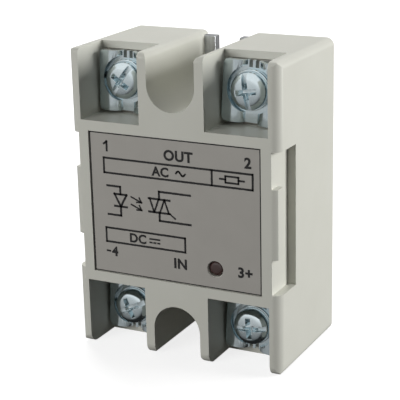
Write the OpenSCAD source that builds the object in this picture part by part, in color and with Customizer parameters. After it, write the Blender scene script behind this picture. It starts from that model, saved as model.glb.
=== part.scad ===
// Panel-mount solid state relay with four screw terminals.
// Millimetres, +Z up, +X right, the labelled front faces -Y.
// The origin is the centre of the base plate's mounting face.

/* [Case] */
// Width of the case across the terminals
case_w = 43; // [34:0.5:54]
// Height of the case over the mounting notches
case_h = 59.2; // [49:0.2:72]
// Depth from the front face to the mounting face
case_d = 26; // [21.5:0.5:34]
// Radius of the case's corners, seen from the front
case_corner_r = 1.5; // [0.8:0.1:2]
// Radius of the long upright edges of the front face
front_edge_r = 1.8; // [0.8:0.1:2]
// Radius of the wall ends at the top of the front
top_round_r = 1.2; // [0.5:0.1:2.4]
// Radius of the wall ends at the bottom of the front
bottom_round_r = 2.2; // [0.5:0.1:2.6]
// How far the base plate stands out of the case's back
plate_proud = 0.2; // [0.1:0.05:0.4]
// Thickness of the front wall behind the label
front_wall = 2.0; // [1.6:0.1:2.6]

/* [Terminal pockets] */
// Distance between the upper and lower rows of pockets
block_h = 32; // [28:0.5:38]
// Depth of a pocket, from the front to its floor
pocket_d = 8.9; // [8.6:0.1:11]
// Wall between a pocket and the case's side
outer_wall = 2.25; // [1.8:0.05:2.8]
// Wall between a pocket and the mounting notch
notch_wall = 1.8; // [1.2:0.1:2.4]
// Thickness of the shelf between a pocket and the middle of the case
shelf_wall = 1.8; // [1.4:0.1:2.4]
// Plastic behind a pocket's floor, which holds the nut
floor_t = 6.1; // [5.9:0.1:7]

/* [Mounting] */
// Distance from a mounting centre to the case's end
mount_edge = 5.8; // [4.8:0.1:7]
// Radius of the mounting notches in the case
notch_r = 4.9; // [4:0.1:5.9]
// Radius where a notch runs out into the case's end
notch_lip_r = 1.2; // [0.6:0.1:1.7]
// Thickness of the base plate
plate_t = 2.0; // [1.6:0.1:3]
// Plastic rim round the base plate
plate_rim = 0.75; // [0.6:0.05:1.2]
// Diameter of the base plate's lower mounting hole
mount_hole_d = 4.5; // [3.7:0.1:5.6]
// Width of the base plate's upper mounting slot
mount_slot_w = 5.2; // [4.3:0.1:6.4]
// Radius of the base plate's corners
plate_corner_r = 1.0; // [0.5:0.1:1.5]

/* [Label] */
// Width of the label's recess
label_w = 35.6; // [28:0.1:38]
// Height of the label's recess
label_h = 28; // [23:0.1:28.4]
// Depth of the label's recess
label_recess = 0.45; // [0.3:0.05:0.6]
// Thickness of the label sheet
label_t = 0.2; // [0.1:0.05:0.25]
// Gap between the label and the sides of its recess
label_gap = 0.1; // [0.05:0.05:0.3]

/* [Guard seats on the sides] */
// Height of the seat for a clip-on guard
seat_h = 27; // [22:0.5:30]
// Depth of the seat into the side
seat_step = 1.65; // [1:0.05:1.8]
// Length of the seat, from the front
seat_d = 7.2; // [6:0.1:9]
// Height of the catch on the seat
catch_h = 13.3; // [10:0.1:16]
// Length of the catch, from the front
catch_d = 2.6; // [2:0.1:4]
// How far the catch stands out of the seat
catch_proud = 1.1; // [0.6:0.1:1.5]

/* [Terminal hardware] */
// Diameter of the screw thread
screw_d = 4; // [3:0.1:4.8]
// Length of the screw under its head
screw_len = 8; // [7.6:0.1:9]
// Diameter of the screw head
head_d = 7; // [6.4:0.1:8.4]
// Height of the screw head
head_h = 2.4; // [2:0.1:2.9]
// Width of the straight slot in the head
slot_w = 1.1; // [0.8:0.1:1.4]
// Depth of the straight slot
slot_depth = 0.9; // [0.8:0.1:1.2]
// Thickness of the split lock washer
washer_t = 1.0; // [0.8:0.05:1.2]
// Outer diameter of the split lock washer
washer_d = 7.6; // [6.2:0.1:8.8]
// Width of the cut in the lock washer
washer_cut = 0.7; // [0.5:0.1:1]
// Sheet thickness of the clamp plate
clamp_t = 0.9; // [0.7:0.05:1.1]
// How far the clamp plate's wings arch forward
clamp_arch = 1.4; // [1:0.1:1.7]
// Width of the flat channel between the clamp plate's wings
clamp_channel = 2.5; // [2:0.1:3.2]
// Radius of the clamp plate's corners
clamp_corner_r = 1; // [0.8:0.1:1.6]
// Gap round the screw head in the clamp plate's round seat
clamp_seat_gap = 1.1; // [0.6:0.05:1.2]
// Gap between the clamp plate and the pocket's sides
clamp_gap = 0.7; // [0.6:0.05:0.9]
// Gap between the most turned clamp plate's lowest corner and the shelf
clamp_shelf_gap = 0.18; // [0.13:0.01:0.48]
// Distance from the clamp plate's end to the case's end
clamp_end_gap = 1.5; // [1:0.1:2]
// Thickness of the terminal strip
strip_t = 1.0; // [0.8:0.1:1.2]
// How far the strip is let into the pocket's floor
strip_inset = 0.6; // [0.4:0.1:0.7]
// Width of the strip's tail, inside the case
tail_w = 5; // [4:0.1:6]
// Width across the flats of the square nut
nut_w = 7; // [6:0.1:8.4]
// Thickness of the square nut
nut_t = 2.2; // [1.8:0.1:2.6]

/* [Inside] */
// Width of the circuit board
board_w = 34; // [27:0.5:35]
// Height of the circuit board
board_h = 25.6; // [21:0.2:26]
// Thickness of the circuit board
board_t = 1.6; // [1.2:0.1:2]
// Depth of the resin over the base plate
resin_t = 3.0; // [2:0.1:4]
// Width of the triac's body
triac_w = 15.6; // [13:0.1:18.8]
// Height of the triac's body
triac_h = 18; // [15:0.1:20]
// Thickness of the triac's body
triac_t = 4.9; // [4:0.1:5.5]
// Thickness of the ceramic pad under the triac
ceramic_t = 0.6; // [0.4:0.1:1]
// Diameter of the indicator lens
led_d = 3; // [2.5:0.1:3.6]
// Length of the capacitor's case
capacitor_w = 12; // [10:0.1:14.4]

/* [Hidden] */
$fn = 48;
eps = 0.01;        // how far a cut runs past the face it opens
fit = 0.05;        // gap each side between pieces that fit into each other

// Overall layout
half_w = case_w / 2;
half_h = case_h / 2;
shelf_z = block_h / 2;
pocket_h = half_h - shelf_z;
pocket_w = half_w - outer_wall - notch_wall - notch_r;
screw_x = notch_r + notch_wall + pocket_w / 2;
screw_z = shelf_z + pocket_h / 2;
mount_z = half_h - mount_edge;
block_back = pocket_d + floor_t;       // depth of the back of the nut blocks
inner_z = shelf_z - shelf_wall;        // half height of the middle chamber
inner_x = half_w - seat_step - 1.4;    // half width of the middle chamber
rear_wall = 1.8;                       // walls of the chamber behind the pockets
plate_top = case_d - plate_t;          // depth of the base plate's front face
plate_gap = 0.1;

// Depths of the terminal stack, from the front
strip_front = pocket_d + strip_inset - strip_t;
clamp_front = strip_front - clamp_t;
washer_front = clamp_front - washer_t;
head_front = washer_front - head_h;
nut_front = strip_front + strip_t;
screw_tip = washer_front + screw_len;
nut_bore_r = screw_d / 2 + fit;
clearance_r = screw_d / 2 + 0.25;
seat_r = head_d / 2 + clamp_seat_gap;  // round seat in the clamp plate

// How far each screw has been turned, and each clamp plate dragged round by it
slot_angle = [55, 98, 5, 25];
clamp_turn = [-2, -4, -4, -3];

// Clamp plate outline
clamp_w = pocket_w - 2 * clamp_gap;
clamp_sweep = (clamp_w / 2 - clamp_corner_r) * sin(-min(clamp_turn));  // how far a turned corner drops
clamp_low = shelf_z + clamp_shelf_gap + clamp_sweep;
clamp_high = half_h - clamp_end_gap;

// Circuit board, which the terminal strips' tails pass through
board_front = 10.4;
board_back = board_front + board_t;
tail_z = inner_z - 2.6;                // outer face of a tail's bent leg
tail_end = board_back + 0.8;
post_r = 1.3;
post_x = board_w / 2 - post_r - 0.2;
post_z = 4.5;

// Power stage
ceramic_front = plate_top - ceramic_t;
triac_front = ceramic_front - triac_t;
triac_z = 1.5;                         // centre of the triac's body
lead_pitch = 5.45;
lead_depth = ceramic_front - 1.9;      // depth of the leads' centre line
resin_front = plate_top - resin_t;

// Indicator place on the label
led_x = 8.3;
led_z = -10.1;
led_hole_r = led_d / 2 + fit;
led_flange_front = 4.8;

// Terminal 1 is top left, 2 top right, 3 bottom right, 4 bottom left
side_x = [-1, 1, 1, -1];
side_z = [1, 1, -1, -1];

plastic = "#c9c8c2";
steel = "#c3c6ca";
tinned = "#b9bbb8";

// Moves a shape drawn over depth, with the front at 0, into the part's frame
module at_depth(d = 0) { translate([0, d - case_d, 0]) children(); }

// A cylinder along the depth, from d0 to d1
module rod(r, d0, d1, x = 0, z = 0) {
    at_depth(d0) translate([x, 0, z]) rotate([-90, 0, 0]) cylinder(r = r, h = d1 - d0);
}

// A block centred on x and z, from depth d0 to d1
module slab(w, h, d0, d1, x = 0, z = 0) {
    at_depth(d0) translate([x - w / 2, 0, z - h / 2]) cube([w, d1 - d0, h]);
}

// Extrudes an outline drawn in x and z from depth d0 to d1
module plate(d0, d1) {
    at_depth(d1) rotate([90, 0, 0]) linear_extrude(d1 - d0) children();
}

// Puts a piece of terminal n, drawn for the top right one, in its place
module terminal(n) {
    scale_x = side_x[n - 1];
    scale_z = side_z[n - 1];
    mirror([scale_x < 0 ? 1 : 0, 0, 0]) mirror([0, 0, scale_z < 0 ? 1 : 0]) children();
}

module rounded_rect(w, h, r) {
    square([w - 2 * r, h], center = true);
    square([w, h - 2 * r], center = true);
    for (x = [-1, 1]) for (z = [-1, 1])
        translate([x * (w / 2 - r), z * (h / 2 - r)]) circle(r);
}

// What a round edge takes off a square corner whose tip is at the origin
module corner_cut(r) {
    difference() {
        translate([-r, -r]) square(r + 1);
        translate([-r, -r]) circle(r);
    }
}

// Outline of the mounting notches, with their rounded mouths
module notch_outline() {
    for (s = [0, 1]) mirror([0, s]) {
        translate([0, mount_z]) circle(notch_r);
        translate([-notch_r, mount_z]) square([2 * notch_r, mount_edge + 1]);
        for (x = [0, 1]) mirror([x, 0])
            translate([notch_r, half_h]) mirror([1, 0]) corner_cut(notch_lip_r);
    }
}

// The case's solid shape, before anything is cut into it
module case_blank() {
    intersection() {
        plate(0, case_d - plate_proud) rounded_rect(case_w, case_h, case_corner_r);
        // upright edges of the front
        translate([0, -case_d, -half_h]) linear_extrude(case_h) {
            translate([-half_w, front_edge_r]) square([case_w, case_d]);
            translate([-half_w + front_edge_r, 0]) square([case_w - 2 * front_edge_r, case_d]);
            for (x = [-1, 1]) translate([x * (half_w - front_edge_r), front_edge_r]) circle(front_edge_r);
        }
        // ends of the front, top and bottom
        translate([-half_w, -case_d, 0]) rotate([90, 0, 90]) linear_extrude(case_w) difference() {
            translate([0, -half_h]) square([case_d, case_h]);
            translate([0, half_h]) mirror([1, 0]) corner_cut(top_round_r);
            translate([0, -half_h]) rotate(180) corner_cut(bottom_round_r);
        }
    }
}

// Outline of the walls round the notches, grown by a gap
module notch_walls(gap) {
    wall_r = notch_r + notch_wall + gap;
    for (s = [0, 1]) mirror([0, s]) {
        translate([0, mount_z]) circle(wall_r);
        translate([-wall_r, mount_z]) square([2 * wall_r, mount_edge]);
    }
}

// Room for the board and the parts on it, and for the resin behind the pockets
module chamber() {
    slab(2 * inner_x, 2 * inner_z, front_wall, plate_top + eps);
    difference() {
        slab(case_w - 2 * rear_wall, case_h - 2 * rear_wall, block_back, plate_top + eps);
        plate(block_back - 1, plate_top + 1) notch_walls(0);
    }
}

module housing() color(plastic) {
    difference() {
        case_blank();
        plate(-1, case_d + 1) notch_outline();
        chamber();
        plate(plate_top, case_d) rounded_rect(case_w - 2 * plate_rim, case_h - 2 * plate_rim, plate_corner_r);
        slab(label_w, label_h, -1, label_recess);
        rod(led_hole_r, 0, front_wall + 1, led_x, led_z);
        for (n = [1:4]) terminal(n) pocket();
        for (s = [0, 1]) mirror([s, 0, 0]) difference() {
            slab(2 * seat_step, seat_h, -1, seat_d, half_w, 0);
            slab(2 * seat_step, catch_h, -1, catch_d, half_w - 2 * seat_step + catch_proud, 0);
        }
    }
    // posts that the board rests on
    for (x = [-1, 1]) for (z = [-1, 1])
        rod(post_r, front_wall - eps, board_front, x * post_x, z * post_z);
}

// The space of one terminal, cut from the housing
module pocket() {
    slab(pocket_w, pocket_h + 1, -1, pocket_d, screw_x, shelf_z + (pocket_h + 1) / 2);
    // seat of the terminal strip, and the slot through the shelf for its tail
    slab(clamp_w + 2 * fit, clamp_high - shelf_z + fit, strip_front, nut_front, screw_x,
        (clamp_high + fit + shelf_z) / 2);
    slab(tail_w + 2 * fit, shelf_wall + 2 * eps, strip_front - fit, nut_front, screw_x, shelf_z - shelf_wall / 2);
    // seat of the nut, and room for the screw's tip
    slab(nut_w + 2 * fit, nut_w + 2 * fit, nut_front - eps, nut_front + nut_t + fit, screw_x, screw_z);
    rod(clearance_r, nut_front, screw_tip + 0.3, screw_x, screw_z);
}

module base_plate() color("#b8babb") difference() {
    plate(plate_top, case_d) difference() {
        rounded_rect(case_w - 2 * (plate_rim + plate_gap), case_h - 2 * (plate_rim + plate_gap),
            plate_corner_r);
        translate([0, mount_z]) circle(mount_slot_w / 2);
        translate([-mount_slot_w / 2, mount_z]) square([mount_slot_w, mount_edge]);
    }
    rod(mount_hole_d / 2, plate_top - 1, case_d + 1, 0, -mount_z);
}

module label() color("#8b8985") difference() {
    slab(label_w - 2 * label_gap, label_h - 2 * label_gap, label_recess - label_t, label_recess);
    rod(led_hole_r + 0.1, -1, label_recess + 1, led_x, led_z);
}

// Clear epoxy body of the indicator, its dome in the front wall's hole
module led() color("#7a1510") {
    dome = led_d / 2;
    dome_centre = label_recess + dome;
    at_depth(dome_centre) translate([led_x, 0, led_z]) rotate([90, 0, 0])
        rotate_extrude() intersection() { circle(dome); square(dome); }
    rod(dome, dome_centre, led_flange_front + 0.5, led_x, led_z);
    rod(dome + 0.4, led_flange_front, led_flange_front + 1, led_x, led_z);
}

module led_leads() color(tinned)
    for (s = [-1, 1])
        slab(0.5, 0.5, led_flange_front + 1, board_front, led_x + s * 1.27, led_z);

module circuit_board() color("#2f6b3c") difference() {
    slab(board_w, board_h, board_front, board_back);
    for (n = [1:4]) terminal(n)
        slab(tail_w + 0.3, strip_t + 0.3, board_front - 1, board_back + 1, screw_x, tail_z - strip_t / 2);
}

// Plastic body of the power switch, with its fixing hole
module triac() color("#26272a") {
    hole_z = triac_z + triac_h / 2 - 3.6;
    difference() {
        slab(triac_w, triac_h, triac_front, ceramic_front, 0, triac_z);
        rod(2.05, triac_front - 1, ceramic_front + 1, 0, hole_z);
        // thinner end where the leads come out
        slab(triac_w + 1, 2.6, triac_front - 1, triac_front + 0.9, 0, triac_z - triac_h / 2 + 1.2);
    }
}

// Three leads, bent forward to the back of the board
module triac_leads() color(tinned) {
    lead_w = 1.2;
    lead_t = 0.6;
    body_end = triac_z - triac_h / 2;
    reach = 2.6;
    for (x = [-lead_pitch, 0, lead_pitch]) {
        slab(lead_w, reach, lead_depth - lead_t / 2, lead_depth + lead_t / 2, x, body_end - reach / 2);
        slab(lead_w, lead_t, board_back, lead_depth + lead_t / 2, x, body_end - reach + lead_t / 2);
    }
}

module ceramic_pad() color("#efece4")
    slab(triac_w + 3, triac_h + 3, ceramic_front, plate_top, 0, triac_z);

// Resin cast over the base plate, round the power stage
module potting() color("#1c1d1f") difference() {
    slab(case_w - 2 * rear_wall, case_h - 2 * rear_wall, resin_front, plate_top);
    plate(resin_front - 1, plate_top + 1) notch_walls(fit);
    slab(triac_w + 3 + 2 * fit, triac_h + 3 + 2 * fit, resin_front - 1, plate_top + 1, 0, triac_z);
    // the leads leave the body inside the resin
    slab(2 * lead_pitch + 2.4, 4, resin_front - 1, plate_top - 0.4, 0, triac_z - triac_h / 2 - 2);
}

module optocoupler() color("#1f2124") {
    body_w = 8.8;
    body_h = 6.4;
    body_t = 3.4;
    body_back = board_front - 0.5;
    slab(body_w, body_h, body_back - body_t, body_back, opto_x, opto_z);
    // six legs, bent down at the body's long sides
    for (x = [-2.54, 0, 2.54]) for (s = [-1, 1])
        slab(0.5, 0.6, body_back - body_t / 2, board_front, opto_x + x, opto_z + s * (body_h / 2 + 0.3));
}
opto_x = 0;
opto_z = -4.4;

module snubber_capacitor() color("#9c2b26") {
    capacitor_h = 5;
    capacitor_t = 6.8;
    lead_gap = 0.6;
    slab(capacitor_w, capacitor_h, board_front - lead_gap - capacitor_t, board_front - lead_gap,
        capacitor_x, capacitor_z);
    for (s = [-1, 1])
        slab(0.6, 0.6, board_front - lead_gap, board_front, capacitor_x + s * (capacitor_w / 2 - 1), capacitor_z);
}
capacitor_x = 1;
capacitor_z = 8.6;

// An axial part lying along x over the board: round body, straight wires, bent ends
module axial(x, z, body_d, body_l, reach) {
    wire = 0.6;
    height = body_d / 2 + 0.4;
    for (s = [-1, 1]) translate([s * (body_l / 2 + reach / 2), 0, 0])
        slab(reach, wire, board_front - height - wire / 2, board_front - height + wire / 2, x, z);
    for (s = [-1, 1])
        slab(wire, wire, board_front - height - wire / 2, board_front, x + s * (body_l / 2 + reach), z);
    translate([x - body_l / 2, board_front - height - case_d, z])
        rotate([0, 90, 0]) cylinder(d = body_d, h = body_l);
}

module snubber_resistor() color("#5f7f9c") axial(1, 3.4, 3.2, 9, 1.6);

module gate_resistors() color("#b9a37c") {
    axial(-10.6, 1.6, 2.2, 6, 1.2);
    axial(-10.6, -1.6, 2.2, 6, 1.2);
}

module input_resistor() color("#a98f63") axial(-1, -10.6, 2.4, 6.4, 1.3);

module input_diode() color("#2b2b2d") axial(-9.6, -6.4, 2.6, 4.6, 1.4);

// Small three-legged transistor in a D-shaped body
module regulator_transistor() color("#232427") {
    body_r = 2.3;
    body_l = 4.6;
    leg_l = 1.6;
    difference() {
        rod(body_r, board_front - leg_l - body_l, board_front - leg_l, transistor_x, transistor_z);
        slab(6, 2, board_front - 10, board_front, transistor_x, transistor_z - 2.3);
    }
    for (x = [-1.27, 0, 1.27])
        slab(0.5, 0.5, board_front - leg_l, board_front, transistor_x + x, transistor_z);
}
transistor_x = 10.6;
transistor_z = -2;

// Plated strip: the contact under the clamp, a tail through the shelf, a leg to the board
module terminal_strip(n) color("#b7a878") terminal(n) difference() {
    union() {
        slab(clamp_w, clamp_high - shelf_z - fit, strip_front, nut_front, screw_x,
            (clamp_high + shelf_z + fit) / 2);
        slab(tail_w, shelf_z + 2 * fit - tail_z + strip_t, strip_front, nut_front, screw_x,
            (shelf_z + 2 * fit + tail_z - strip_t) / 2);
        slab(tail_w, strip_t, strip_front, tail_end, screw_x, tail_z - strip_t / 2);
    }
    rod(clearance_r, strip_front - 1, nut_front + 1, screw_x, screw_z);
}

module terminal_nut(n) color(steel) terminal(n) difference() {
    slab(nut_w, nut_w, nut_front, nut_front + nut_t, screw_x, screw_z);
    rod(nut_bore_r, nut_front - 1, nut_front + nut_t + 1, screw_x, screw_z);
}

// Front line of the right wing: steep beside the channel, then an arch that ends high
wing_steps = 9;
wing = [for (i = [0:wing_steps]) let (u = i / wing_steps)
    [clamp_channel / 2 + (clamp_w - clamp_channel) / 2 * pow(u, 1.6), clamp_front - clamp_arch * sin(130 * u)]];
wing_line = concat([for (i = [wing_steps:-1:0]) [-wing[i][0], wing[i][1]]], wing);

// Pressed sheet that holds the wires: an arched wing each side of a channel and a round seat
module clamp_plate(n) color(steel) {
    mirrored = side_x[n - 1] * side_z[n - 1];
    notch_w = 0.7;   // the two nicks at the channel's outer end
    notch_h = 0.426 * (clamp_high - screw_z - clearance_r);   // leaves metal between a nick and the hole
    terminal(n) translate([screw_x, 0, screw_z]) rotate([0, -mirrored * clamp_turn[n - 1], 0]) difference() {
        intersection() {
            union() {
                difference() {
                    clamp_extrusion(concat(wing_line, [for (i = [len(wing_line) - 1:-1:0])
                        wing_line[i] + [0, clamp_t]]));
                    rod(seat_r, 0, strip_front + 1);
                }
                intersection() {
                    clamp_extrusion(concat(wing_line, [[clamp_w / 2, strip_front], [-clamp_w / 2, strip_front]]));
                    rod(seat_r + clamp_t, 0, strip_front);
                }
            }
            plate(0, pocket_d) translate([0, (clamp_high + clamp_low) / 2 - screw_z])
                rounded_rect(clamp_w, clamp_high - clamp_low, clamp_corner_r);
        }
        rod(seat_r, 0, clamp_front);
        rod(clearance_r, 0, strip_front + 1);
        for (x = [-1, 1])
            slab(notch_w, 2 * notch_h, 0, strip_front + 1, x * notch_w * 0.9, clamp_high - screw_z);
    }
}

// Extrudes an outline over x and depth along the clamp plate's height
module clamp_extrusion(outline) {
    translate([0, -case_d, clamp_low - screw_z]) linear_extrude(clamp_high - clamp_low) polygon(outline);
}

module lock_washer(n) color(steel) terminal(n) difference() {
    rod(washer_d / 2, washer_front, clamp_front, screw_x, screw_z);
    rod(clearance_r, washer_front - 1, clamp_front + 1, screw_x, screw_z);
    // the cut, slanted as a spring washer's is
    at_depth((washer_front + clamp_front) / 2) translate([screw_x + washer_d / 2, 0, screw_z])
        rotate([25, 0, 0]) cube([washer_d / 2, 3 * washer_t, washer_cut], center = true);
}

// Pan head screw with a cross recess and a straight slot across it
module terminal_screw(n) color(steel) {
    x = side_x[n - 1] * screw_x;
    z = side_z[n - 1] * screw_z;
    crown = 1.4;   // radius of the head's rounded edge
    at_depth(0) translate([x, 0, z]) rotate([0, -slot_angle[n - 1], 0]) translate([0, head_front, 0])
        difference() {
            union() {
                rotate([-90, 0, 0]) rotate_extrude() union() {
                    translate([0, crown]) square([head_d / 2, head_h - crown]);
                    square([head_d / 2 - crown, crown]);
                    intersection() {
                        translate([head_d / 2 - crown, crown]) circle(crown);
                        translate([head_d / 2 - crown, 0]) square(crown);
                    }
                }
                rotate([-90, 0, 0]) cylinder(d = screw_d, h = head_h + screw_len);
            }
            translate([-head_d, -1, -slot_w / 2]) cube([2 * head_d, 1 + slot_depth, slot_w]);
            for (a = [0, 90]) rotate([0, a, 0])
                translate([-2.1, -1, -slot_w * 0.4]) cube([4.2, 2.5, slot_w * 0.8]);
        }
}

housing();
base_plate();
label();
led();
led_leads();
circuit_board();
triac();
triac_leads();
ceramic_pad();
potting();
optocoupler();
snubber_capacitor();
snubber_resistor();
gate_resistors();
input_resistor();
input_diode();
regulator_transistor();
for (n = [1:4]) {
    terminal_strip(n);
    terminal_nut(n);
    clamp_plate(n);
    lock_washer(n);
    terminal_screw(n);
}
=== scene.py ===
# %% [markdown]
# # A solid state relay, finished in Blender
# This is a small block of grey plastic with a screw terminal in each corner, a printed
# label and a metal plate on its back. The exact shapes come from a CAD model, which is
# loaded first and stays as a fixed frame. Blender adds what CAD leaves out: softened
# edges, real screw heads and threads, ink, and surfaces that take light as the real ones do.

# %% Load the frame
import math
import bpy
from mathutils import Euler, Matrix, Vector


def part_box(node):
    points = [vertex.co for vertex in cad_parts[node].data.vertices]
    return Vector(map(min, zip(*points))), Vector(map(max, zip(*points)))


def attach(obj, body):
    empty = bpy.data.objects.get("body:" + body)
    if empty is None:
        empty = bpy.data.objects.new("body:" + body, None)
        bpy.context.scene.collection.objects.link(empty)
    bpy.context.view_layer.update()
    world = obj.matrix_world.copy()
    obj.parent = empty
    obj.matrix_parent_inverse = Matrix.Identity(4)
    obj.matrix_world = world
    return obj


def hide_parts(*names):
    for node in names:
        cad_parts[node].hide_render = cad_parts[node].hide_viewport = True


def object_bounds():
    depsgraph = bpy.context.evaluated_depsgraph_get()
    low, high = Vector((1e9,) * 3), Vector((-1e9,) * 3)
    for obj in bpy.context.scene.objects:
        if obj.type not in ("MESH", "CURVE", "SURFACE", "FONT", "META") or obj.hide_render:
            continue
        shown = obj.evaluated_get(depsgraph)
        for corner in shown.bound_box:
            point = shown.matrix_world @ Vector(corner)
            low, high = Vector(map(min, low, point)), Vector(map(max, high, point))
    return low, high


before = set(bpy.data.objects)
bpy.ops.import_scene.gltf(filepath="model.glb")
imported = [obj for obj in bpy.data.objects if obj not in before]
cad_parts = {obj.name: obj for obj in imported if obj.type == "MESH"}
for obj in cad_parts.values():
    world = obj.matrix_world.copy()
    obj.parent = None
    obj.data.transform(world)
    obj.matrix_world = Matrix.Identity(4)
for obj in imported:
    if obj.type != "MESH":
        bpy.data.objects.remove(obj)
cad_box = [list(corner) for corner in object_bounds()]
MM = 0.001           # one millimetre, in metres
PER_MM = 1 / MM      # a pattern's scale for one grain per millimetre
print("CAD box in mm:", [[round(v / MM, 2) for v in corner] for corner in cad_box])

# %% [markdown]
# ## Camera
# A long lens from the right and a little above keeps the upright edges almost parallel,
# as in a catalogue picture. The camera is aimed at a point inside the case, and then
# rolled by a little more than a degree, because a hand-held camera is never quite level.

# %% Camera
camera_place = Vector((109.546, -227.853, 73.783)) * MM
camera_aim = Vector((-0.838, -13.525, -1.254)) * MM
camera_roll = math.radians(-1.349)
camera_lens_mm = 117.13
camera_sensor_mm = 36

bpy.ops.object.camera_add(location=camera_place)
camera = bpy.context.object
camera.name = "catalogue_camera"
camera.data.lens = camera_lens_mm
camera.data.sensor_width = camera_sensor_mm
camera.rotation_mode = "QUATERNION"
camera.rotation_quaternion = ((camera_aim - camera_place).to_track_quat("-Z", "Y")
                              @ Euler((0, 0, camera_roll)).to_quaternion())
bpy.context.scene.camera = camera
bpy.context.scene.view_settings.view_transform = "Standard"
print("camera distance in mm:", round((camera_place - camera_aim).length / MM, 1))

# %% [markdown]
# ## Materials: the three helpers
# Every finish is one Principled shader with patterns behind its colour, roughness and
# bump. Patterns are placed by Object coordinates, which are metres here, so each scale is
# written as so many grains per millimetre. One helper turns a hex colour into the linear
# values that a shader works in, one adds a node and wires it up, and one starts a finish.

# %% Colour and node helpers
def linear(hex_colour):
    """The linear RGBA of an sRGB hex colour."""
    channels = [int(hex_colour[i:i + 2], 16) / 255 for i in (1, 3, 5)]
    return [c / 12.92 if c <= 0.04045 else ((c + 0.055) / 1.055) ** 2.4
            for c in channels] + [1.0]


def add_node(tree, kind, inputs=None, **settings):
    """Adds a node. inputs maps a socket to its value, or to the output that feeds it."""
    node = tree.nodes.new(kind)
    for name, value in settings.items():
        setattr(node, name, value)
    for name, value in (inputs or {}).items():
        if isinstance(value, bpy.types.NodeSocket):
            tree.links.new(value, node.inputs[name])
        else:
            node.inputs[name].default_value = value
    return node


def new_finish(name, sockets=None):
    """A material with one Principled shader: its tree, shader and Object coordinates."""
    material = bpy.data.materials.new(name)
    material.use_nodes = True
    tree = material.node_tree
    shader = tree.nodes["Principled BSDF"]
    for socket, value in (sockets or {}).items():
        shader.inputs[socket].default_value = value
    return tree, shader, tree.nodes.new("ShaderNodeTexCoord").outputs["Object"]


# %% [markdown]
# ## Moulded plastic
# The case is glass-filled PBT, a polyester that is moulded in a spark-eroded tool. The
# tool leaves a fine even grain, about 0.15 mm, that breaks up reflections into a soft
# satin. The colour clouds a little where the melt flowed, so two noises are enough: a
# slow one for colour and a fine one for grain.

# %% Case plastic
tree, shader, where = new_finish("pbt_moulded_satin", {"IOR": 1.55})
clouds = add_node(tree, "ShaderNodeTexNoise", {"Vector": where, "Scale": 0.14 * PER_MM,
                                               "Detail": 4.0})
tint = add_node(tree, "ShaderNodeMix", {0: clouds.outputs["Fac"], 6: linear("#cbcbc1"),
                                        7: linear("#d2d2c9")}, data_type="RGBA")
tree.links.new(tint.outputs[2], shader.inputs["Base Color"])
grain = add_node(tree, "ShaderNodeTexNoise", {"Vector": where, "Scale": 6.5 * PER_MM,
                                              "Detail": 2.0})
sheen_range = add_node(tree, "ShaderNodeMapRange", {"Value": grain.outputs["Fac"], "To Min": 0.32,
                                                    "To Max": 0.46})
tree.links.new(sheen_range.outputs["Result"], shader.inputs["Roughness"])
relief = add_node(tree, "ShaderNodeBump", {"Height": grain.outputs["Fac"], "Strength": 0.25,
                                           "Distance": 0.03 * MM})
tree.links.new(relief.outputs["Normal"], shader.inputs["Normal"])

# %% [markdown]
# ## Zinc plate
# The screws, washers, clamp plates and nuts are steel with bright zinc plating, passivated
# blue. The plating is smooth but not flat: it follows the rolled or headed steel under it,
# so reflections wobble. A low roughness keeps them sharp, and a slow noise bends them.

# %% Bright zinc
tree, shader, where = new_finish("zinc_plated_steel", {"Metallic": 1.0})
patches = add_node(tree, "ShaderNodeTexNoise", {"Vector": where, "Scale": 0.38 * PER_MM,
                                                "Detail": 2.0})
tint = add_node(tree, "ShaderNodeMix", {0: patches.outputs["Fac"], 6: linear("#bfcdd2"),
                                        7: linear("#d9e3e6")}, data_type="RGBA")
tree.links.new(tint.outputs[2], shader.inputs["Base Color"])
rubs = add_node(tree, "ShaderNodeTexNoise", {"Vector": where, "Scale": 0.9 * PER_MM, "Detail": 3.0})
sheen_range = add_node(tree, "ShaderNodeMapRange", {"Value": rubs.outputs["Fac"], "To Min": 0.13,
                                                    "To Max": 0.25})
tree.links.new(sheen_range.outputs["Result"], shader.inputs["Roughness"])
relief = add_node(tree, "ShaderNodeBump", {"Height": patches.outputs["Fac"], "Strength": 0.4,
                                           "Distance": 0.06 * MM})
tree.links.new(relief.outputs["Normal"], shader.inputs["Normal"])

# %% [markdown]
# ## Rolled aluminium
# The base plate is sheet aluminium, sawn from a strip. Rolling leaves fine parallel lines,
# so the noise is squeezed across them: short across, long along the plate's height.

# %% Aluminium sheet
tree, shader, where = new_finish("aluminium_rolled", {"Metallic": 1.0})
rolling_grain = (3 * PER_MM, 3 * PER_MM, 0.06 * PER_MM)   # across, across, along
stretched = add_node(tree, "ShaderNodeMapping", {"Vector": where, "Scale": rolling_grain})
lines = add_node(tree, "ShaderNodeTexNoise", {"Vector": stretched.outputs["Vector"], "Scale": 1.0,
                                              "Detail": 3.0})
tint = add_node(tree, "ShaderNodeMix", {0: lines.outputs["Fac"], 6: linear("#a9abad"),
                                        7: linear("#cfd1d2")}, data_type="RGBA")
tree.links.new(tint.outputs[2], shader.inputs["Base Color"])
sheen_range = add_node(tree, "ShaderNodeMapRange", {"Value": lines.outputs["Fac"], "To Min": 0.28,
                                                    "To Max": 0.46})
tree.links.new(sheen_range.outputs["Result"], shader.inputs["Roughness"])
relief = add_node(tree, "ShaderNodeBump", {"Height": lines.outputs["Fac"], "Strength": 0.3,
                                           "Distance": 0.02 * MM})
tree.links.new(relief.outputs["Normal"], shader.inputs["Normal"])

# %% [markdown]
# ## Label film and ink
# The label is polyester film, coated mid grey on the back of the print. Its surface is
# calm: a faint cloudiness and a satin sheen. The ink is screen printed, black and a bit
# rougher than the film.

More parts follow.
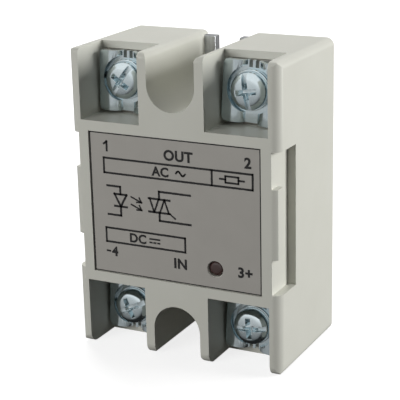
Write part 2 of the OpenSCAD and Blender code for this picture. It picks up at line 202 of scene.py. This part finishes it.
# %% Film and ink
tree, shader, where = new_finish("polyester_label_film", {"IOR": 1.5})
clouds = add_node(tree, "ShaderNodeTexNoise", {"Vector": where, "Scale": 0.26 * PER_MM,
                                               "Detail": 5.0})
tint = add_node(tree, "ShaderNodeMix", {0: clouds.outputs["Fac"], 6: linear("#a6a39d"),
                                        7: linear("#aeaba5")}, data_type="RGBA")
tree.links.new(tint.outputs[2], shader.inputs["Base Color"])
pores = add_node(tree, "ShaderNodeTexNoise", {"Vector": where, "Scale": 5 * PER_MM, "Detail": 2.0})
sheen_range = add_node(tree, "ShaderNodeMapRange", {"Value": pores.outputs["Fac"], "To Min": 0.40,
                                                    "To Max": 0.52})
tree.links.new(sheen_range.outputs["Result"], shader.inputs["Roughness"])

# This black also draws the thin painted shadow line round the label's edge, so the print holds
# painted shade as well as real ink.
tree, shader, where = new_finish("printed_ink_and_painted_shadow", {"IOR": 1.5})
density = add_node(tree, "ShaderNodeTexNoise", {"Vector": where, "Scale": 3 * PER_MM,
                                                "Detail": 3.0})
tint = add_node(tree, "ShaderNodeMix", {0: density.outputs["Fac"], 6: linear("#0f0f10"),
                                        7: linear("#1d1c1c")}, data_type="RGBA")
tree.links.new(tint.outputs[2], shader.inputs["Base Color"])
sheen_range = add_node(tree, "ShaderNodeMapRange", {"Value": density.outputs["Fac"], "To Min": 0.45,
                                                    "To Max": 0.6})
tree.links.new(sheen_range.outputs["Result"], shader.inputs["Roughness"])

# %% [markdown]
# ## Inner finishes
# The case is closed, but the parts inside are real parts, so each has its own finish. They
# differ in colour, gloss and grain size, and are otherwise built the same way, so one
# table gives the numbers and one loop builds them.

# %% Inner finishes
inner_finishes = [
    # name, darker tint, lighter tint, grain in mm, roughness from and to, metallic, relief in mm
    # The contact strip's tints are darker than bright tin: real tin plate with painted shade added,
    # so the gaps behind the clamps read dark.
    ("tin_brass_and_painted_shade", "#7f7d76", "#9a978f", 0.6, (0.24, 0.42), 1.0, 0.03),
    ("tinned_copper_wire", "#a9a9a4", "#cfcfcb", 0.5, (0.22, 0.40), 1.0, 0.02),
    ("solder_mask_on_laminate", "#1f5b31", "#2f7444", 0.8, (0.22, 0.34), 0.0, 0.04),
    ("moulding_compound", "#1d1e20", "#2b2c2e", 0.2, (0.50, 0.66), 0.0, 0.02),
    ("sintered_alumina", "#dedad0", "#f0ede5", 0.3, (0.55, 0.70), 0.0, 0.02),
    ("cast_epoxy_resin", "#121315", "#1d1e20", 3.0, (0.08, 0.20), 0.0, 0.10),
    ("dipped_film_capacitor", "#7d1f1b", "#a1342c", 1.5, (0.20, 0.34), 0.0, 0.08),
    ("blue_resistor_lacquer", "#44647f", "#6f8fab", 0.7, (0.30, 0.44), 0.0, 0.04),
    ("tan_resistor_lacquer", "#a58a5e", "#c3ab82", 0.7, (0.32, 0.46), 0.0, 0.04),
]
for name, dark, light, grain_mm, sheen, metal, relief_mm in inner_finishes:
    tree, shader, where = new_finish(name, {"Metallic": metal})
    grain = add_node(tree, "ShaderNodeTexNoise", {"Vector": where, "Scale": 1 / (grain_mm * MM),
                                                  "Detail": 4.0})
    tint = add_node(tree, "ShaderNodeMix", {0: grain.outputs["Fac"], 6: linear(dark),
                                            7: linear(light)}, data_type="RGBA")
    tree.links.new(tint.outputs[2], shader.inputs["Base Color"])
    sheen_range = add_node(tree, "ShaderNodeMapRange", {"Value": grain.outputs["Fac"],
                                                        "To Min": sheen[0], "To Max": sheen[1]})
    tree.links.new(sheen_range.outputs["Result"], shader.inputs["Roughness"])
    relief = add_node(tree, "ShaderNodeBump", {"Height": grain.outputs["Fac"], "Strength": 0.3,
                                               "Distance": relief_mm * MM})
    tree.links.new(relief.outputs["Normal"], shader.inputs["Normal"])
print("finishes:", len(bpy.data.materials))

# %% [markdown]
# ## Copies of the CAD shapes with softened edges
# Moulded plastic and pressed metal have no perfectly sharp edge: each one is rounded by a
# tenth or two of a millimetre, and that thin round catches a line of light. The CAD mesh
# is loose triangles, so a copy is merged, its flat faces are made whole again, and a
# Bevel rounds only the edges that turn by more than 30 degrees. Weighted normals then let
# each large flat face set the shading, so that the thin rounds do not tint it.

# %% The copying helper
merge_gap = 0.002 * MM                  # vertices nearer than this are one vertex
same_plane = math.radians(0.5)          # faces that turn by less than this are one face
bevel_above = math.radians(30)          # edges that turn by more than this are rounded
smooth_below = math.radians(28)         # edges that turn by less than this look smooth


def pick_only(piece):
    """Leaves one object selected and active, in object mode."""
    if bpy.context.object and bpy.context.object.mode != "OBJECT":
        bpy.ops.object.mode_set(mode="OBJECT")
    bpy.ops.object.select_all(action="DESELECT")
    piece.select_set(True)
    bpy.context.view_layer.objects.active = piece


dressed = []


def dress(piece, material_name, body, nodes=()):
    """Gives a finished piece its material, and says where it belongs in the frame."""
    dressed.append(piece)
    piece.data.materials.clear()
    piece.data.materials.append(bpy.data.materials[material_name])
    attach(piece, body)
    if nodes:
        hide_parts(*nodes)


def rounded_copy(node, name, radius_mm):
    """A merged copy of a CAD node's mesh with its sharp edges rounded."""
    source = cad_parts[node]
    piece = bpy.data.objects.new(name, source.data.copy())
    bpy.context.scene.collection.objects.link(piece)
    pick_only(piece)
    bpy.ops.object.mode_set(mode="EDIT")
    bpy.ops.mesh.select_all(action="SELECT")
    bpy.ops.mesh.remove_doubles(threshold=merge_gap)
    bpy.ops.mesh.dissolve_limited(angle_limit=same_plane)
    bpy.ops.object.mode_set(mode="OBJECT")
    bevel = piece.modifiers.new("edge", "BEVEL")
    bevel.width = radius_mm * MM
    bevel.segments = 2
    bevel.limit_method = "ANGLE"
    bevel.angle_limit = bevel_above
    bevel.use_clamp_overlap = True
    bpy.ops.object.modifier_apply(modifier="edge")
    bpy.ops.object.shade_smooth_by_angle(angle=smooth_below)
    flat = piece.modifiers.new("flat_faces", "WEIGHTED_NORMAL")
    flat.keep_sharp = True
    bpy.ops.object.modifier_apply(modifier="flat_faces")
    return piece


# %% [markdown]
# ## The case and the plates
# The case is one moulding. Its rounds on the front are already in the CAD shape, so the
# bevel only has to break the remaining edges.

# %% Case, base plate and label
case_shell = rounded_copy("housing", "case_shell", 0.2)
dress(case_shell, "pbt_moulded_satin", "housing", ["housing"])
mounting_plate = rounded_copy("base_plate", "mounting_plate", 0.15)
dress(mounting_plate, "aluminium_rolled", "housing", ["base_plate"])
label_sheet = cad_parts["label"]
label_sheet.data.materials.clear()
label_sheet.data.materials.append(bpy.data.materials["polyester_label_film"])
print("case faces:", len(case_shell.data.polygons))

# %% [markdown]
# ## The print on the label
# The film is screen printed with the terminal numbers, the two rated circuits in frames,
# and a plain circuit symbol in place of a maker's text. Ink stands a few hundredths of a
# millimetre proud, so the print is a thin solid: letters come from Text objects, and every
# straight stroke is a bar. Letters are drawn flat and turned upright, bars are made
# upright, and all of them are joined. Places are in mm, x to the right and z up, from the
# middle of the case.

# %% Strokes and letters
label_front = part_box("label")[0].y
ink_t = 0.03 * MM
ink_strokes = []
bold, frame_line, even, light_line, thin, painted_shadow_line = 0.42, 0.4, 0.36, 0.34, 0.32, 0.2   # mm


def ink_bar(x0, z0, x1, z1, width):
    """A straight stroke between two points of the label, in mm."""
    start, end = Vector((x0, 0, z0)), Vector((x1, 0, z1))
    span = end - start
    bpy.ops.object.select_all(action="DESELECT")
    bpy.ops.mesh.primitive_cube_add(size=1, location=(start + end) / 2 * MM,
                                    rotation=(0, -math.atan2(span.z, span.x), 0))
    bar = bpy.context.object
    bar.scale = ((span.length + width) * MM, ink_t, width * MM)
    bpy.ops.object.transform_apply(location=True, rotation=True, scale=True)
    ink_strokes.append(bar)


def ink_path(points, width=bold):
    """Strokes along a row of points."""
    for (x0, z0), (x1, z1) in zip(points, points[1:]):
        ink_bar(x0, z0, x1, z1, width)


capital_share = 0.73     # a capital's height as a share of the font size
weight_share = 0.05      # how far an outline is swelled, as a share of the height


def ink_text(text, left, base, height):
    """Letters with their left end and base line at a place, and capitals of a height, in mm."""
    bpy.ops.object.select_all(action="DESELECT")
    bpy.ops.object.text_add()
    letters = bpy.context.object
    letters.data.body = text
    letters.data.size = height / capital_share * MM
    letters.data.extrude = ink_t / 2
    letters.data.offset = weight_share * height * MM
    letters.data.space_character = 1.06
    letters.data.resolution_u = 4
    bpy.ops.object.convert(target="MESH")
    letters.rotation_euler = (math.radians(90), 0, 0)
    letters.location = Vector((left, 0, base)) * MM
    bpy.ops.object.transform_apply(location=True, rotation=True, scale=True)
    ink_strokes.append(letters)


# %% Numbers, frames, symbols and a painted shadow line
label_low, label_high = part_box("label")
# The first path below is a thin dark ink line just inside the label's edge. It is painted shadow,
# standing for the dark gap between the label and the wall of its recess.
painted_shadow_inset = 0.12
left_line, right_line = label_low.x / MM + painted_shadow_inset, label_high.x / MM - painted_shadow_inset
bottom_line, top_line = label_low.z / MM + painted_shadow_inset, label_high.z / MM - painted_shadow_inset
ink_path([(left_line, bottom_line), (right_line, bottom_line), (right_line, top_line),
          (left_line, top_line), (left_line, bottom_line)], painted_shadow_line)
ink_path([(-14.55, 11.75), (-13.98, 12.2), (-13.98, 10.45)], frame_line)
ink_text("2", 14.5, 10.1, 2.0)
ink_bar(-14.8, -9.55, -14.2, -9.55, even)
ink_text("4", -13.75, -10.4, 1.9)
ink_text("3+", 12.9, -10.9, 2.0)
ink_text("OUT", -1.9, 9.9, 2.0)
ink_text("IN", -0.4, -11.0, 2.0)
for x0, z0, x1, z1 in ((-14.75, 6.1, 16.1, 9.0), (-14.85, -7.65, 2.15, -4.85)):
    ink_path([(x0, z0), (x1, z0), (x1, z1), (x0, z1), (x0, z0)], frame_line)
ink_bar(7.95, 6.1, 7.95, 9.0, frame_line)
ink_text("AC", -4.4, 6.65, 1.8)
middle = 7.55            # the height of the alternating-current sign and the load symbol
wave_left, wave_length, wave_height, wave_steps = 0.6, 1.9, 0.4, 8
ink_path([(wave_left + wave_length * i / wave_steps,
           middle + wave_height * math.sin(i * math.pi / 4)) for i in range(wave_steps + 1)],
         light_line)
ink_path([(9.6, middle), (10.7, middle)], even)
ink_path([(10.7, 6.95), (13.3, 6.95), (13.3, 8.15), (10.7, 8.15), (10.7, 6.95)], even)
ink_path([(13.3, middle), (14.4, middle)], even)
ink_text("DC", -9.8, -7.1, 1.8)
dash_length = 0.32
ink_bar(-5.3, -5.95, -3.3, -5.95, light_line)
for x in (-5.3, -4.46, -3.62):
    ink_bar(x, -6.65, x + dash_length, -6.65, light_line)
print("strokes:", len(ink_strokes))

# %% Circuit symbol: a light-emitting diode that fires a two-way switch
ink_path([(-14.2, 3.6), (-11.4, 3.6), (-11.4, 2.1)])
ink_path([(-12.7, 2.1), (-10.1, 2.1), (-11.4, -0.3), (-12.7, 2.1)])
ink_path([(-12.7, -0.3), (-10.1, -0.3)])
ink_path([(-11.4, -0.3), (-11.4, -2.1), (-14.2, -2.1)])
for z in (1.9, 0.4):
    ink_path([(-9.1, z), (-6.9, z - 0.9)], thin)
    ink_path([(-7.9, z - 0.95), (-6.9, z - 0.9), (-7.35, z - 0.05)], thin)
ink_path([(3.4, 3.6), (-3.1, 3.6), (-3.1, 2.1)])
ink_path([(-5.3, 2.1), (-0.9, 2.1)])
ink_path([(-5.3, -0.5), (-0.9, -0.5)])
ink_path([(-5.1, 2.1), (-4.2, -0.5), (-3.2, 2.1)], even)
ink_path([(-3.0, -0.5), (-2.0, 2.1), (-1.1, -0.5)], even)
ink_path([(-3.1, -0.5), (-3.1, -2.1), (3.4, -2.1)])
ink_path([(-0.9, -0.5), (0.2, -1.3)], thin)

# %% Join the print and the painted shadow line
bpy.ops.object.select_all(action="DESELECT")
for stroke in ink_strokes:
    stroke.select_set(True)
bpy.context.view_layer.objects.active = ink_strokes[0]
bpy.ops.object.join()
label_print_and_shadow = bpy.context.object
label_print_and_shadow.name = "label_print_and_shadow"
label_print_and_shadow.location.y = label_front - ink_t / 2
bpy.ops.object.transform_apply(location=True, rotation=True, scale=True)
dress(label_print_and_shadow, "printed_ink_and_painted_shadow", "housing")
print("print faces:", len(label_print_and_shadow.data.polygons))

# %% [markdown]
# ## The indicator
# A 3 mm light-emitting diode sits behind a hole in the front wall. It is off, so its red
# epoxy looks almost black-brown. The lens is one turned shape: a wide flange, whose top is
# inset and pushed forward into the lens, whose flat end then gets a rounded edge.

# %% Indicator lens
along_axis = 0.9         # a face looks along an axis when its normal has more than this of it


def faces_where(piece, test):
    """In edit mode, selects only the faces whose centre and normal pass a test."""
    bpy.ops.object.mode_set(mode="OBJECT")
    for part in (piece.data.vertices, piece.data.edges, piece.data.polygons):
        part.foreach_set("select", [False] * len(part))
    for face in piece.data.polygons:
        face.select = test(face.center, face.normal)
    bpy.ops.object.mode_set(mode="EDIT")
    bpy.ops.mesh.select_mode(type="FACE")


def turned_blank(name, radius, length, sides=64):
    """A cylinder with its base at the origin, standing up along Z, ready for edit mode."""
    bpy.ops.object.select_all(action="DESELECT")
    bpy.ops.mesh.primitive_cylinder_add(vertices=sides, radius=radius, depth=length,
                                        location=(0, 0, length / 2))
    blank = bpy.context.object
    blank.name = name
    bpy.ops.object.transform_apply(location=True, rotation=True, scale=True)
    return blank


def stand_forward(piece, x, base_depth, z, turn_deg=0, scale=1.0):
    """Turns a piece that was made along Z so that it faces the front, and puts it in place."""
    pick_only(piece)
    piece.scale = (scale, scale, scale)
    piece.rotation_euler = Euler((math.radians(90), 0, 0))
    piece.rotation_euler.rotate_axis("Z", math.radians(turn_deg))
    piece.location = Vector((x, base_depth, z))
    bpy.ops.object.transform_apply(location=True, rotation=True, scale=True)


led_low, led_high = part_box("led")
lens_r, lens_edge_r = 1.5, 0.75
lens_smooth_below = math.radians(40)
flange_wide, flange_t = 0.4, 1.0
lens_len = (led_high.y - led_low.y) / MM
indicator_lens = turned_blank("indicator_lens", (lens_r + flange_wide) * MM, flange_t * MM, 48)
faces_where(indicator_lens, lambda centre, normal: normal.z > along_axis)
bpy.ops.mesh.inset(thickness=flange_wide * MM)
lens_push = (0, 0, (lens_len - flange_t) * MM)
bpy.ops.mesh.extrude_region_move(TRANSFORM_OT_translate={"value": lens_push})
bpy.ops.mesh.select_mode(type="EDGE")
bpy.ops.mesh.region_to_loop()
bpy.ops.mesh.bevel(offset=lens_edge_r * MM, segments=6, clamp_overlap=True)
bpy.ops.object.mode_set(mode="OBJECT")
bpy.ops.object.shade_smooth_by_angle(angle=lens_smooth_below)
stand_forward(indicator_lens, (led_low.x + led_high.x) / 2, led_high.y,
              (led_low.z + led_high.z) / 2)
tree, shader, where = new_finish("clear_red_epoxy", {"Roughness": 0.07, "IOR": 1.53,
                                                     "Transmission Weight": 0.25})
depth_tone = add_node(tree, "ShaderNodeTexNoise", {"Vector": where, "Scale": 0.9 * PER_MM,
                                                   "Detail": 2.0})
tint = add_node(tree, "ShaderNodeMix", {0: depth_tone.outputs["Fac"], 6: linear("#432f2c"),
                                        7: linear("#533c39")}, data_type="RGBA")
tree.links.new(tint.outputs[2], shader.inputs["Base Color"])
dress(indicator_lens, "clear_red_epoxy", "housing", ["led"])

# %% [markdown]
# ## The terminal screws
# Each terminal has an M4 pan head screw with a combined recess: a cross for a pointed
# driver and a straight slot across it for a flat one. The head starts as a cylinder with
# a large bevel, and its top is then lowered toward the rim to make the dome. The recess is
# cut with Booleans, the cross tapered as a real punch leaves it. The thread is one V that
# a Screw modifier winds round the shank at an M4 thread's 0.7 mm pitch, then trimmed flat
# at both ends. Booleans lose their footing on parts a few millimetres across, so the screw
# is modelled with one metre for each millimetre, and scaled down as it is put in place.
# A bevel made in edit mode lists its new faces in an order that changes from run to run,
# and a Boolean splits faces by that order, so the blank is numbered by place before a cut.

# %% Screw sizes
screw_low, screw_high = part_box("terminal_screw_2")
head_r = (screw_high.x - screw_low.x) / 2 / MM
head_h = 2.4
shank_r = 2.0
thread_pitch = 0.7
thread_depth = 0.38
crest_gap = 0.02                        # the crest stays this far inside the CAD shank
crest_from, crest_to = 0.40, 0.55       # the flat crest, as shares of the pitch
head_round = 1.15
dome_drop = 0.38                        # how much lower the rim is than the middle
slot_width, slot_depth, slot_block = 1.0, 1.0, (9.0, 1.4)     # block: length and height
cross_width, cross_depth, cross_block = 1.15, 1.75, (4.6, 2.2)
cross_taper = 0.55
recess_edge_r = 0.09
tip_r = 1.35                            # the shank's end is chamfered down to this
overlap = 0.3                           # how far the shank runs up into the head
steps_per_turn = 28
screw_bevel_above, screw_smooth_below = math.radians(35), math.radians(32)
screw_total = (screw_high.y - screw_low.y) / MM
print("head radius and screw length in mm:", round(head_r, 2), round(screw_total, 2))

# %% Screw head
order_digits = 4         # places are compared to this many decimals of a millimetre


def in_fixed_order(piece):
    """Numbers corners and faces by their place, so that every run builds the same mesh."""
    mesh = piece.data
    places = [tuple(vertex.co) for vertex in mesh.vertices]
    by_place = sorted(range(len(places)),
                      key=lambda i: [round(c, order_digits) for c in places[i]])
    number = {old: new for new, old in enumerate(by_place)}
    rings = []
    for face in mesh.polygons:
        ring = [number[i] for i in face.vertices]
        first = ring.index(min(ring))
        rings.append(ring[first:] + ring[:first])
    mesh.clear_geometry()
    mesh.from_pydata([places[i] for i in by_place], [], sorted(rings))


screw_head = turned_blank("screw_head", head_r, head_h)
faces_where(screw_head, lambda centre, normal: normal.z > along_axis)
bpy.ops.mesh.select_mode(type="EDGE")
bpy.ops.mesh.region_to_loop()
bpy.ops.mesh.bevel(offset=head_round, segments=7)
faces_where(screw_head, lambda centre, normal: centre.z > head_h - 0.001)
for rings_left in (5, 4, 3, 2):
    bpy.ops.mesh.extrude_region_move()
    shrink = (rings_left - 1) / rings_left
    bpy.ops.transform.resize(value=(shrink, shrink, 1))
bpy.ops.object.mode_set(mode="OBJECT")
for vertex in screw_head.data.vertices:
    from_axis = math.hypot(vertex.co.x, vertex.co.y)
    if vertex.co.z > 0.5 * head_h:
        vertex.co.z -= dome_drop * (from_axis / head_r) ** 2
in_fixed_order(screw_head)


# %% Recess cutters
def box_cutter(name, size, centre_at, taper=1.0, turn_deg=0):
    """A block to cut with. taper scales its lower face, to give sloping sides."""
    bpy.ops.object.select_all(action="DESELECT")
    bpy.ops.mesh.primitive_cube_add(size=1)
    cutter = bpy.context.object
    cutter.name = name
    cutter.scale = Vector(size)
    bpy.ops.object.transform_apply(location=True, rotation=True, scale=True)
    faces_where(cutter, lambda centre, normal: normal.z < -along_axis)
    bpy.ops.transform.resize(value=(taper, taper, 1))
    bpy.ops.object.mode_set(mode="OBJECT")
    cutter.location = Vector(centre_at)
    cutter.rotation_euler = (0, 0, math.radians(turn_deg))
    bpy.ops.object.transform_apply(location=True, rotation=True, scale=True)
    return cutter


def cut_away(piece, cutter):
    """Cuts one piece with another, and removes the cutter."""
    pick_only(piece)
    boolean = piece.modifiers.new("cut", "BOOLEAN")
    boolean.operation = "DIFFERENCE"
    boolean.solver = "EXACT"
    boolean.object = cutter
    bpy.ops.object.modifier_apply(modifier="cut")
    bpy.data.objects.remove(cutter)


cut_away(screw_head, box_cutter("slot", (slot_block[0], slot_width, slot_block[1]),
                                (0, 0, head_h + slot_block[1] / 2 - slot_depth)))
for turn in (0, 90):
    cut_away(screw_head, box_cutter("cross_arm", (cross_block[0], cross_width, cross_block[1]),
                                    (0, 0, head_h + cross_block[1] / 2 - cross_depth),
                                    cross_taper, turn))
edge_round = screw_head.modifiers.new("edge", "BEVEL")
edge_round.width = recess_edge_r
edge_round.segments = 2
edge_round.limit_method = "ANGLE"
edge_round.angle_limit = screw_bevel_above
pick_only(screw_head)
bpy.ops.object.modifier_apply(modifier="edge")
print("head faces:", len(screw_head.data.polygons))

# %% Threaded shank
bpy.ops.object.select_all(action="DESELECT")
bpy.ops.mesh.primitive_plane_add(size=1)
shank = bpy.context.object
shank.name = "shank"
bpy.ops.object.mode_set(mode="EDIT")
bpy.ops.mesh.delete(type="ONLY_FACE")
bpy.ops.object.mode_set(mode="OBJECT")
root_r, crest_r = shank_r - thread_depth, shank_r - crest_gap
profile = [(root_r, 0.0), (crest_r, crest_from * thread_pitch),
           (root_r, thread_pitch), (crest_r, crest_to * thread_pitch)]
for vertex, (radius, height) in zip(shank.data.vertices, profile):
    vertex.co = (radius, 0, height)
for edge in shank.data.edges:
    edge.select = set(edge.vertices) == {0, 2}
bpy.ops.object.mode_set(mode="EDIT")
bpy.ops.mesh.select_mode(type="EDGE")
bpy.ops.mesh.delete(type="EDGE")
bpy.ops.object.mode_set(mode="OBJECT")
winding = shank.modifiers.new("winding", "SCREW")
winding.angle = math.radians(360)
winding.screw_offset = thread_pitch
winding.iterations = math.ceil((screw_total - head_h) / thread_pitch) + 2
winding.steps = winding.render_steps = steps_per_turn
bpy.ops.object.modifier_apply(modifier="winding")
shank_top, shank_end = overlap, -(screw_total - head_h)
for vertex in shank.data.vertices:
    vertex.co.z += shank_end - thread_pitch
bpy.ops.object.mode_set(mode="EDIT")
bpy.ops.mesh.select_all(action="SELECT")
bpy.ops.mesh.remove_doubles(threshold=0.001)
for height, clear in ((shank_top, "clear_outer"), (shank_end, "clear_inner")):
    bpy.ops.mesh.select_all(action="SELECT")
    bpy.ops.mesh.bisect(plane_co=(0, 0, height), plane_no=(0, 0, 1), use_fill=True,
                        **{clear: True})
bpy.ops.mesh.select_all(action="SELECT")
bpy.ops.mesh.normals_make_consistent(inside=False)
bpy.ops.object.mode_set(mode="OBJECT")
for vertex in shank.data.vertices:
    radius = math.hypot(vertex.co.x, vertex.co.y)
    limit = tip_r + (vertex.co.z - shank_end)
    if radius > limit:
        vertex.co.x *= limit / radius
        vertex.co.y *= limit / radius
print("shank faces:", len(shank.data.polygons))

# %% One screw from the two, copied to four terminals
pick_only(screw_head)
union = screw_head.modifiers.new("join", "BOOLEAN")
union.operation = "UNION"
union.solver = "EXACT"
union.object = shank
bpy.ops.object.modifier_apply(modifier="join")
bpy.data.objects.remove(shank)
bpy.ops.object.shade_smooth_by_angle(angle=screw_smooth_below)

terminal_turns = [55, 98, 5, 25]         # degrees, terminals 1 to 4
for n, turn in enumerate(terminal_turns, start=1):
    low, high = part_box(f"terminal_screw_{n}")
    screw = bpy.data.objects.new(f"pan_head_screw_{n}", screw_head.data.copy())
    bpy.context.scene.collection.objects.link(screw)
    stand_forward(screw, (low.x + high.x) / 2, low.y + head_h * MM, (low.z + high.z) / 2, turn, MM)
    dress(screw, "zinc_plated_steel", f"screw_{n}", [f"terminal_screw_{n}"])
bpy.data.objects.remove(screw_head)
print("screw box in mm:", [[round(v / MM, 2) for v in corner] for corner in (low, high)])

# %% [markdown]
# ## Terminal hardware
# Under each screw head lie a spring washer and a pressed clamp plate with two arched wings,
# and under those a contact strip and a square nut. Sheared and pressed metal has a small
# burnished round on its edges, which is what separates the stacked parts by eye.

# %% Washers, clamps, strips and nuts
for n in range(1, 5):
    hardware = [
        # CAD node, piece, edge round in mm, finish, body, slot
        ("lock_washer", "spring_washer", 0.14, "zinc_plated_steel", f"clamp_{n}", "zinc_plate"),
        ("clamp_plate", "wire_clamp", 0.13, "zinc_plated_steel", f"clamp_{n}", "zinc_plate"),
        # the contact strip's tin finish is darkened as painted shade
        ("terminal_strip", "contact_strip", 0.08, "tin_brass_and_painted_shade", "housing", "strip_brass"),
        ("terminal_nut", "square_nut", 0.2, "zinc_plated_steel", "housing", "zinc_plate"),
    ]
    for node, name, edge, finish, body, slot in hardware:
        piece = rounded_copy(f"{node}_{n}", f"{name}_{n}", edge)
        dress(piece, finish, body, [f"{node}_{n}"])

# %% [markdown]
# ## Inside the case
# A circuit board stands on four posts behind the label, and the power switch sits on a
# ceramic pad against the base plate, in resin. None of it shows while the case is shut,
# but a part that is taken out of this model should look like itself.

# %% Inner parts
inner_parts = [
    # CAD node, piece, edge round in mm, finish, slot
    ("led_leads", "indicator_leads", 0.08, "tinned_copper_wire", "tinned_wire"),
    ("circuit_board", "control_board", 0.06, "solder_mask_on_laminate", "board_laminate"),
    ("triac", "power_switch", 0.3, "moulding_compound", "moulded_black"),
    ("triac_leads", "power_leads", 0.1, "tinned_copper_wire", "tinned_wire"),
    ("ceramic_pad", "insulating_pad", 0.05, "sintered_alumina", "ceramic"),
    ("potting", "cast_resin", 0.1, "cast_epoxy_resin", "resin"),
    ("optocoupler", "light_coupler", 0.12, "moulding_compound", "moulded_black"),
    ("snubber_capacitor", "damping_capacitor", 0.6, "dipped_film_capacitor", "capacitor_case"),
    ("snubber_resistor", "damping_resistor", 0.5, "blue_resistor_lacquer", "resistor_blue"),
    ("gate_resistors", "trigger_resistors", 0.35, "tan_resistor_lacquer", "resistor_tan"),
    ("input_resistor", "series_resistor", 0.35, "tan_resistor_lacquer", "resistor_tan"),
    ("input_diode", "guard_diode", 0.25, "moulding_compound", "moulded_black"),
    ("regulator_transistor", "current_regulator", 0.2, "moulding_compound", "moulded_black"),
]
for node, name, edge, finish, slot in inner_parts:
    piece = rounded_copy(node, name, edge)
    dress(piece, finish, "housing", [node])
print("pieces finished here:", len(dressed), "and the label, which keeps its CAD shape")

# %% [markdown]
# ## Floor and light
# The relay stands on a white, lit table that fills the whole picture. Three soft boxes
# stand round it: one behind and to the right lights the right side, one high behind and to
# the left lights the top, and a weak one in front keeps the label a calm mid grey. The last
# two are matt: they light surfaces but are not seen in them, so they leave no hot spot on
# the screw heads. Bright metal only looks like metal when it has dark and light things to
# reflect, so reflections see a world of their own, bright overhead and dark below, while
# everything else sees a dim one. The table is left out of both, for the same reason.

# %% Floor
table_size_m = 6
table_glow = 0.80
bpy.ops.object.select_all(action="DESELECT")
bpy.ops.mesh.primitive_plane_add(size=table_size_m, location=(0, 0, cad_box[0][2]))
floor = bpy.context.object
floor.name = "light_table"
tree, shader, where = new_finish("lit_white_acrylic", {"Roughness": 0.9,
                                                       "Specular IOR Level": 0.0})
haze = add_node(tree, "ShaderNodeTexNoise", {"Vector": where, "Scale": 0.03 * PER_MM,
                                             "Detail": 3.0})
tint = add_node(tree, "ShaderNodeMix", {0: haze.outputs["Fac"], 6: linear("#9a9a9a"),
                                        7: linear("#a2a2a2")}, data_type="RGBA")
tree.links.new(tint.outputs[2], shader.inputs["Base Color"])
shader.inputs["Emission Color"].default_value = (1, 1, 1, 1)
shader.inputs["Emission Strength"].default_value = table_glow
floor.data.materials.append(bpy.data.materials["lit_white_acrylic"])
floor.visible_diffuse = False
floor.visible_glossy = False

# %% Light
def soft_box(name, place_mm, size_mm, power):
    """A rectangular soft light aimed at the relay, with its place and size in mm."""
    bpy.ops.object.light_add(type="AREA", location=Vector(place_mm) * MM)
    light = bpy.context.object
    light.name = name
    light.data.shape = "RECTANGLE"
    light.data.size = size_mm[0] * MM
    light.data.size_y = size_mm[1] * MM
    light.data.energy = power
    light.rotation_euler = (-light.location).to_track_quat("-Z", "Y").to_euler()
    return light


soft_box("side_box", (460, 170, 130), (240, 240), 2.95)
for matt_light in (soft_box("back_box", (-260, 340, 330), (320, 200), 2.7),
                   soft_box("fill_box", (-220, -500, 130), (300, 240), 1.85)):
    matt_light.visible_glossy = False

# %% World
glow_from = (0.45, 0.35, 0.82)           # where the dim surroundings are brightest
gleam_from = (-0.1, -0.35, 0.93)         # where the reflected surroundings are brightest
world = bpy.context.scene.world or bpy.data.worlds.new("studio")
bpy.context.scene.world = world
world.use_nodes = True
tree = world.node_tree
direction = add_node(tree, "ShaderNodeTexCoord").outputs["Generated"]
toward = add_node(tree, "ShaderNodeVectorMath", {0: direction, 1: glow_from},
                  operation="DOT_PRODUCT")
glow = add_node(tree, "ShaderNodeMapRange", {"Value": toward.outputs["Value"], "From Min": -0.4,
                                             "From Max": 0.9, "To Min": 0.02, "To Max": 0.16})
overhead = add_node(tree, "ShaderNodeVectorMath", {0: direction, 1: gleam_from},
                    operation="DOT_PRODUCT")
gleam = add_node(tree, "ShaderNodeMapRange", {"Value": overhead.outputs["Value"], "From Min": -0.45,
                                              "From Max": 0.65, "To Min": 0.02, "To Max": 1.05})
ray = add_node(tree, "ShaderNodeLightPath")
strength = add_node(tree, "ShaderNodeMix", {0: ray.outputs["Is Glossy Ray"],
                                            2: glow.outputs["Result"],
                                            3: gleam.outputs["Result"]}, data_type="FLOAT")
tree.links.new(strength.outputs[0], tree.nodes["Background"].inputs["Strength"])
tree.nodes["Background"].inputs["Color"].default_value = (1, 1, 1, 1)
